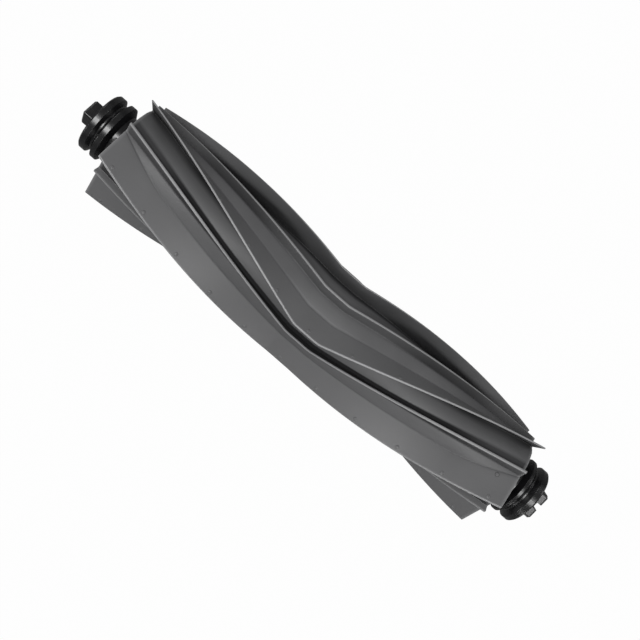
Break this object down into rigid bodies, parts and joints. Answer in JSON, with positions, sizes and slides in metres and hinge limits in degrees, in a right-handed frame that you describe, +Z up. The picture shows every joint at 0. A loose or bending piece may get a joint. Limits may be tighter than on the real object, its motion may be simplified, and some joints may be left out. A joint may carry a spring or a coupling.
{
  "type": "robot vacuum roller brush",
  "caption": "Roller brush with chevron rubber fins of two heights on a core tube, a square drive key at one end and a bearing with a forked block at the other.",
  "frame": {"origin": "middle of the roller on its axis of turning", "axes": "+X along the roller from the square drive key to the forked end block, +Z up"},
  "size_m": [0.191, 0.04, 0.04],
  "materials": {
    "rubber": "matte dark grey",
    "core_plastic": "moulded",
    "black_plastic": "glossy",
    "block_plastic": "glossy",
    "bearing_steel": "ground",
    "sheet_steel": "pressed",
    "spring_steel": "blued",
    "ball_steel": "polished",
    "cage_plastic": "moulded"
  },
  "bodies": {
    "still_end": {"end_block": "block_plastic", "axle_pin": "bearing_steel", "bearing_inner_race": "bearing_steel", "thrust_washer": "sheet_steel", "retaining_clip": "spring_steel"},
    "roller": {"fin_sleeve": "rubber", "core_tube": "core_plastic", "drive_end_cap": "black_plastic", "bearing_end_cap": "black_plastic", "bearing_outer_race": "bearing_steel", "bearing_inner_shield": "sheet_steel", "bearing_outer_shield": "sheet_steel"},
    "ball_set": {"bearing_balls": "ball_steel", "bearing_cage": "cage_plastic"}
  },
  "joints": [
    {"name": "roller_spin", "type": "hinge", "parent": "still_end", "child": "roller", "pos_m": [0.0869, 0, 0], "axis": [1, 0, 0], "continuous": true},
    {"name": "cage_spin", "type": "hinge", "parent": "still_end", "child": "ball_set", "pos_m": [0.0869, 0, 0], "axis": [1, 0, 0], "continuous": true}
  ],
  "couplings": [
    {"joint": "cage_spin", "follows": "roller_spin", "ratio": 0.63158}
  ]
}
